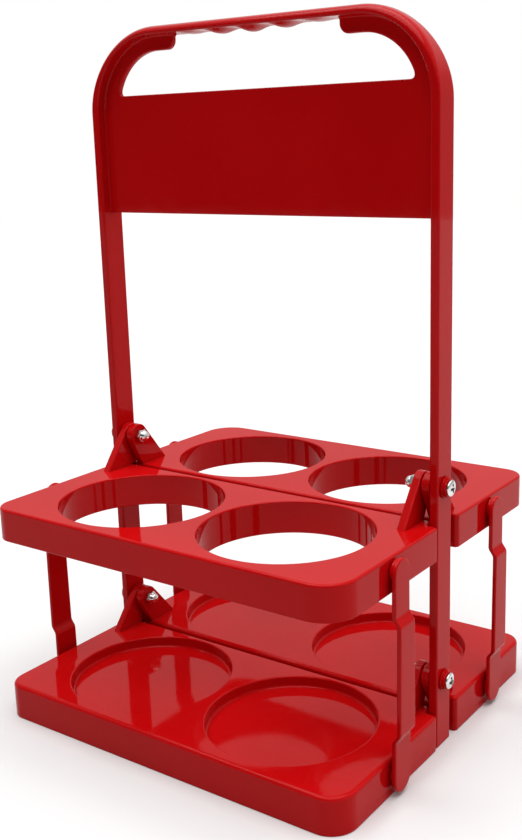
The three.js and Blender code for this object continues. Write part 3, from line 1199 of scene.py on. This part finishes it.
@dataclass
class SideStrut(SubAssembly):
    """A cranked flat link outside the trays, with a snap pin at each end."""

    end: End
    side: Side
    head_width: float = 0.0108
    foot_width: float = 0.012
    thickness: float = 0.0019
    standoff: float = 0.0018
    head_margin: float = 0.0054
    foot_margin: float = 0.0068
    upper_plate: float = 0.0171
    lower_plate: float = 0.0161
    jog: float = 0.0022
    jog_rise: float = 0.003
    bend_radius: float = 0.0008
    edge: float = 0.0006
    reach: float = 0.042
    pin_diameter: float = 0.005
    lip_diameter: float = 0.0062
    lip_length: float = 0.0018
    shoulder_diameter: float = 0.009
    wall: float = 0.0026
    clearance: float = 0.0003
    round_steps: int = 16
    edge_steps: int = 5
    bend_steps: int = 6

    def __post_init__(self) -> None:
        """Takes its place from the frame."""
        self.node = f"{self.end.name.lower()}_{self.side.name.lower()}_strut"
        low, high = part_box("front_right_strut")
        self.bottom = low.z
        self.top = high.z
        self.tray_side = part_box("upper_front_tray")[1].x
        self.inner = self.tray_side + self.standoff
        self.low_bend = self.bottom + self.foot_margin + self.lower_plate
        self.high_bend = self.top - self.head_margin - self.upper_plate

    def crank(self, z: float) -> float:
        """How far the middle part stands out, with softened bends.

        Args:
            z: Height.

        Returns:
            The offset along X at that height.
        """
        total = 0.0
        for step in range(-self.bend_steps, self.bend_steps + 1):
            near = z + self.bend_radius * step / self.bend_steps
            rise = min(near - self.low_bend, self.high_bend - near) / self.jog_rise
            total += min(max(rise, 0.0), 1.0)
        return self.jog * total / (2 * self.bend_steps + 1)

    def bends(self) -> List[float]:
        """Heights of the rows round the four bends.

        Returns:
            The heights, in rising order.
        """
        low, high = self.low_bend, self.high_bend
        made = []
        for bend in (low, low + self.jog_rise, high - self.jog_rise, high):
            for step in range(-self.bend_steps, self.bend_steps + 1):
                made.append(bend + self.bend_radius * step / self.bend_steps)
        return made

    def blade(self) -> bpy.types.Mesh:
        """Makes the cranked flat link, a little wider at its foot, with rounded ends and edges.

        Returns:
            The link without its pins.
        """
        foot_half, head_half = self.foot_width / 2, self.head_width / 2
        foot = arc((0, self.bottom + foot_half), foot_half, -QUARTER, 0, self.round_steps)
        head = arc((0, self.top - head_half), head_half, 0, QUARTER, self.round_steps)
        taper = (head_half - foot_half) / (head[0][1] - foot[-1][1])
        sides = [(foot_half + taper * (z - foot[-1][1]), z) for z in self.bends()]
        right = [*foot, *sides, *head]
        outline = right + [(-y, z) for y, z in reversed(right)][1:-1]
        rows = edge_rounding(self.edge, self.edge_steps)
        levels = rows + [(moved, self.thickness - rise) for moved, rise in reversed(rows)]
        points: List[Vector] = []
        for moved, level in levels:
            for y, z in inset(outline, moved):
                points.append(Vector((self.inner + level + self.crank(z), y, z)))
        count = len(outline)
        faces = bands(len(levels), count)
        for cap in (0, (len(levels) - 1) * count):
            for step in range(len(right) - 1):
                rung = [step, step + 1, (count - step - 1) % count, (count - step) % count]
                faces.append([cap + index for index in dict.fromkeys(rung)])
        return closed_mesh(points, faces)

    def pin(self, z: float) -> bpy.types.Mesh:
        """A snap pin with its shoulder, on an axis along X.

        Args:
            z: Height of the axis.

        Returns:
            The pin.
        """
        shoulder_face = self.tray_side + self.clearance
        lip_face = self.tray_side - self.wall - self.clearance
        tip = lip_face - self.lip_length
        buried = self.inner + self.thickness / 2
        soft = self.clearance
        pin, lip, shoulder = self.pin_diameter / 2, self.lip_diameter / 2, self.shoulder_diameter / 2
        profile = [
            (0, tip),
            (pin - soft, tip),
            (pin, tip + soft),
            (lip, lip_face - soft),
            (lip, lip_face),
            (pin, lip_face),
            (pin, shoulder_face),
            (shoulder - soft, shoulder_face),
            (shoulder, shoulder_face + soft),
            (shoulder, buried),
            (0, buried),
        ]
        return turned(profile, along_x(0, z), 3 * self.round_steps)

    def build(self) -> None:
        """Builds the strut in place."""
        link = self.blade()
        for height in (self.bottom + self.foot_margin, self.top - self.head_margin):
            link = combine(link, self.pin(height), Cut.JOIN)
        place = self.reach if self.end is End.REAR else -self.reach
        link.transform(Matrix.Translation((0, place, 0)) @ Matrix.Rotation(self.side.value, 4, "Z"))
        self.show(f"{self.node}_moulding", link, self.node, Slot.PLASTIC)


@dataclass
class PivotHinge(SubAssembly):
    """The bush, screw and cap nut of one hinge, on an axis along X."""

    level: Level
    side: Side
    seat_gap: float = 0.0002
    flange_diameter: float = 0.009
    flange_thickness: float = 0.0008
    step_diameter: float = 0.008
    step_thickness: float = 0.0013
    sleeve_diameter: float = 0.006
    bore_radius: float = 0.00205
    edge: float = 0.00018
    screw_diameter: float = 0.0035
    head_diameter: float = 0.0068
    head_height: float = 0.0014
    head_skirt: float = 0.0004
    recess_length: float = 0.0044
    recess_width: float = 0.0012
    recess_depth: float = 0.0011
    recess_taper: float = 0.45
    recess_turn: float = 0.08
    nut_across_flats: float = 0.0056
    nut_hex_height: float = 0.0024
    nut_chamfer: float = 0.6
    nut_height: float = 0.0052
    nut_dome_diameter: float = 0.0052
    steps: int = 64
    edge_steps: int = 4
    crown_steps: int = 14

    def __post_init__(self) -> None:
        """Takes its place from the frame."""
        self.name = f"{self.level.value}_{self.side.name.lower()}"
        low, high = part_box(f"{self.level.value}_right_bush")
        self.height = (low.z + high.z) / 2
        self.sleeve_end = low.x
        self.bush_face = high.x
        self.arm_face = high.x - self.step_thickness - self.flange_thickness
        self.screw_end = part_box(f"{self.level.value}_right_screw")[0].x
        self.nut_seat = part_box(f"{self.level.value}_right_cap_nut")[1].x

    def soft_corner(self, radius: float, along: float, outward: bool) -> Outline:
        """Rounded outer corner of a turned profile.

        Args:
            radius: Radius of the turned part.
            along: Place of its end face.
            outward: Whether the end face looks outwards, along +X.

        Returns:
            Points of the corner, in the direction of +X.
        """
        if outward:
            return arc((radius - self.edge, along - self.edge), self.edge, 0, QUARTER, self.edge_steps)
        return arc((radius - self.edge, along + self.edge), self.edge, -QUARTER, 0, self.edge_steps)

    def bush(self) -> bpy.types.Mesh:
        """Makes the stepped bush.

        Returns:
            The bush, on the X axis.
        """
        flange_face = self.arm_face + self.flange_thickness
        sleeve, flange, step = self.sleeve_diameter / 2, self.flange_diameter / 2, self.step_diameter / 2
        profile = [
            (self.bore_radius, self.sleeve_end),
            (sleeve, self.sleeve_end),
            (sleeve, self.arm_face),
            *self.soft_corner(flange, self.arm_face, False),
            *self.soft_corner(flange, flange_face, True),
            (step, flange_face),
            *self.soft_corner(step, self.bush_face, True),
            (self.bore_radius, self.bush_face),
            (self.bore_radius, self.sleeve_end),
        ]
        return turned(profile, across, self.steps)

    def screw(self) -> bpy.types.Mesh:
        """Makes the pan-head screw with its cross recess.

        Returns:
            The screw, on the X axis.
        """
        seat = self.bush_face + self.seat_gap
        radius, shank = self.head_diameter / 2, self.screw_diameter / 2
        crown_height = self.head_height - self.head_skirt
        crown = arc((0, 0), 1.0, 0, QUARTER, self.crown_steps)
        profile = [
            (0, self.screw_end),
            (shank, self.screw_end),
            (shank, seat),
            *self.soft_corner(radius, seat, False),
            *[(radius * u, seat + self.head_skirt + crown_height * v) for u, v in crown],
        ]
        screw = turned(profile, across, self.steps)
        top, depth = seat + self.head_height, self.recess_depth
        long, wide = self.recess_length / 2, self.recess_width / 2
        for turn in (self.recess_turn, self.recess_turn + QUARTER):
            loops = []
            for share, level in ((1.0, top + depth), (1.0, top), (self.recess_taper, top - depth)):
                end = long * share
                corners = [(-end, -wide), (end, -wide), (end, wide), (-end, wide)]
                loops.append([Matrix.Rotation(turn, 3, "X") @ Vector((level, u, v)) for u, v in corners])
            screw = combine(screw, loft(loops), Cut.REMOVE)
        return screw

    def cap_nut(self) -> bpy.types.Mesh:
        """Makes the hexagon nut with chamfered corners and a closed dome; one of its flats faces up.

        Returns:
            The nut, on the X axis.
        """
        sides = 6
        slack = 0.97
        flat, seat = self.nut_across_flats / 2, self.nut_seat
        corner = flat / math.cos(HALF_TURN / sides)
        low = seat - self.nut_hex_height
        hexagon = arc((0, 0), corner, 0, FULL_TURN, sides)[:-1]
        nut = rounded_prism(hexagon, (low, seat), (0, 0), across)
        inner, outer = flat * slack, corner / slack
        fall = (outer - inner) * self.nut_chamfer
        turning = [
            (0, low),
            (inner, low),
            (outer, low + fall),
            (outer, seat - fall),
            (inner, seat),
            (0, seat),
        ]
        nut = combine(nut, turned(turning, across, self.steps), Cut.COMMON)
        dome_radius = self.nut_dome_diameter / 2
        dome_base = seat - self.nut_height + dome_radius
        inside = seat - self.nut_hex_height / 2
        dome = arc((0, dome_base), dome_radius, -QUARTER, 0, self.crown_steps)
        profile = [*dome, (dome_radius, inside), (0, inside)]
        nut = combine(nut, turned(profile, across, self.steps), Cut.JOIN)
        bore_span = (self.screw_end - self.seat_gap, seat + self.seat_gap)
        return combine(nut, cylinder(self.bore_radius, bore_span, across, self.steps), Cut.REMOVE)

    def build(self) -> None:
        """Builds the three pieces in place."""
        place = Matrix.Rotation(self.side.value, 4, "Z") @ Matrix.Translation((0, 0, self.height))
        made = {"bush": self.bush(), "screw": self.screw(), "cap_nut": self.cap_nut()}
        for part, mesh in made.items():
            mesh.transform(place)
            node = f"{self.name}_{part}"
            self.show(f"{node}_turned", mesh, node, Slot.PLASTIC if part == "bush" else Slot.STEEL)


# Studio and camera.


@dataclass
class Studio:
    """A pale floor under soft light, in a white room that is greyer in mirrored and shaded parts."""

    floor_reach: float = 3.0
    floor_colour: Colour = (0.75, 0.75, 0.75)
    floor_bounce: Colour = (0.48, 0.48, 0.48)
    floor_roughness: float = 0.9
    floor_specular: float = 0.1
    ambient: float = 0.38
    ambient_slope: float = 0.88
    ambient_least: float = 0.12
    bright_side: Tuple[float, float, float] = (0.95, 0.30, 0.10)
    shaded_side: Tuple[float, float, float] = (0.55, -0.80, 0.20)
    shade_span: Tuple[float, float] = (0.30, 0.90)
    shade_level: float = 0.08
    mirror_heights: Tuple[float, float] = (0.22, 0.45)
    mirror_levels: Tuple[float, float] = (0.50, 0.95)
    flag_span: Tuple[float, float] = (0.30, 0.80)
    flag_level: float = 0.15
    key_direction: Tuple[float, float, float] = (-0.05, -0.12, 0.98)
    key_strength: float = 3.4
    key_spread: float = 1.2

    def floor(self) -> None:
        """Makes the floor."""
        reach = self.floor_reach
        corners = [(-reach, -reach, 0), (reach, -reach, 0), (reach, reach, 0), (-reach, reach, 0)]
        mesh = bpy.data.meshes.new("floor")
        mesh.from_pydata(corners, [], [(0, 1, 2, 3)])
        finish = Finish("pale_floor")
        rays = finish.add("ShaderNodeLightPath").outputs
        seen = finish.math("MAXIMUM", rays["Is Camera Ray"], finish.reflected(rays))
        colour = finish.mix(seen, self.floor_bounce, self.floor_colour)
        finish.link(colour, finish.shader.inputs["Base Color"])
        finish.set(roughness=self.floor_roughness, specular_ior_level=self.floor_specular)
        mesh.materials.append(finish.material)
        floor = bpy.data.objects.new("floor", mesh)
        bpy.context.scene.collection.objects.link(floor)

    def room(self) -> None:
        """Makes the surrounding light, and the white room that is seen and mirrored in its place."""
        world = bpy.data.worlds.new("studio")
        world.use_nodes = True
        nodes = NodeMaker(world.node_tree)
        towards = nodes.add("ShaderNodeTexCoord").outputs["Generated"]
        parts = nodes.add("ShaderNodeSeparateXYZ")
        nodes.link(towards, parts.inputs[0])
        facing = nodes.dot(towards, self.bright_side)
        shade = nodes.ramp(nodes.dot(towards, self.shaded_side), *self.shade_span)
        slope = nodes.math("MULTIPLY_ADD", facing, self.ambient_slope, self.ambient)
        lit = nodes.math("MAXIMUM", slope, self.ambient_least)
        light = nodes.math("MULTIPLY", lit, nodes.spread(shade, 1.0, self.shade_level))
        height = nodes.ramp(parts.outputs["Z"], *self.mirror_heights)
        front = nodes.ramp(nodes.math("MULTIPLY", parts.outputs["Y"], -1.0), *self.flag_span)
        mirrored = nodes.math(
            "MULTIPLY",
            nodes.spread(height, *self.mirror_levels),
            nodes.spread(front, 1.0, self.flag_level),
        )
        rays = nodes.add("ShaderNodeLightPath").outputs
        level = nodes.mix(nodes.reflected(rays), light, mirrored)
        level = nodes.mix(rays["Is Camera Ray"], level, WHITE)
        nodes.link(level, world.node_tree.nodes["Background"].inputs["Color"])
        bpy.context.scene.world = world

    def key_light(self) -> None:
        """Makes one broad, soft key light from above."""
        lamp = bpy.data.lights.new("key", "SUN")
        lamp.energy = self.key_strength
        lamp.angle = self.key_spread
        key = bpy.data.objects.new("key", lamp)
        key.rotation_mode = "QUATERNION"
        key.rotation_quaternion = Vector(self.key_direction).to_track_quat("Z", "Y")
        bpy.context.scene.collection.objects.link(key)

    def build(self) -> None:
        """Builds the floor, the room and the light."""
        self.floor()
        self.room()
        self.key_light()
        bpy.context.scene.view_settings.view_transform = "Standard"


@dataclass
class PhotoCamera:
    """The camera at the photograph's place and angle."""

    place: Tuple[float, float, float] = (0.2784, -0.3731, 0.2466)
    azimuth: float = 34.32
    elevation: float = 12.83
    roll: float = -1.27
    focal_pixels: float = 1086.2
    axis_pixel: Tuple[float, float] = (309.2, 395.1)
    image: Tuple[int, int] = (522, 840)
    sensor: float = 36.0
    nearest: float = 0.01

    def build(self) -> None:
        """Builds the camera."""
        wide, tall = self.image
        data = bpy.data.cameras.new("camera")
        data.sensor_width = self.sensor
        data.lens = self.focal_pixels * self.sensor / tall
        data.shift_x = (wide / 2 - self.axis_pixel[0]) / tall
        data.shift_y = (self.axis_pixel[1] - tall / 2) / tall
        data.clip_start = self.nearest
        azimuth, elevation = math.radians(self.azimuth), math.radians(self.elevation)
        level = math.cos(elevation)
        back = Vector((math.sin(azimuth) * level, -math.cos(azimuth) * level, math.sin(elevation)))
        right = Vector((0, 0, 1)).cross(back).normalized()
        turn = Matrix.Rotation(math.radians(self.roll), 3, back)
        axes = Matrix((turn @ right, turn @ back.cross(right), back)).transposed()
        camera = bpy.data.objects.new("camera", data)
        camera.matrix_world = Matrix.Translation(self.place) @ axes.to_4x4()
        bpy.context.scene.collection.objects.link(camera)
        bpy.context.scene.camera = camera


def upper_tray(end: End) -> HalfTray:
    """Sizes one half of the open upper tray.

    Args:
        end: Which end of the carrier.

    Returns:
        The half tray, ready to build.
    """
    return HalfTray(
        Level.UPPER,
        end,
        height=0.0145,
        corner_radius=0.014,
        far_corner_radius=0.0095,
        edge_radius=0.0012,
    )


def lower_tray(end: End) -> HalfTray:
    """Sizes one half of the lower tray, with seats.

    Args:
        end: Which end of the carrier.

    Returns:
        The half tray, ready to build.
    """
    return HalfTray(
        Level.LOWER,
        end,
        height=0.016,
        corner_radius=0.0115,
        far_corner_radius=0.0085,
        edge_radius=0.0018,
    )


def sub_assemblies() -> List[SubAssembly]:
    """Lists the carrier's sub-assemblies, ready to build.

    Returns:
        The sub-assemblies, in the order they are built.
    """
    made: List[SubAssembly] = [HandleFrame()]
    for end in End:
        made += [upper_tray(end), lower_tray(end)]
        made += [SideStrut(end, side) for side in Side]
    made += [PivotHinge(level, side) for level in Level for side in Side]
    return made


def main() -> None:
    """Builds and dresses the carrier, then the studio."""
    logging.basicConfig(level=logging.INFO, format="%(message)s")
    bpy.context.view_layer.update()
    effects = Effects()
    finishes = {
        Slot.PLASTIC: MouldedPlastic().material(effects),
        Slot.STEEL: PlatedSteel().material(effects),
    }
    PhotoCamera().build()
    for assembly in sub_assemblies():
        assembly.build()
        assembly.dress(finishes)
    Studio().build()


if __name__ == "__main__":
    main()
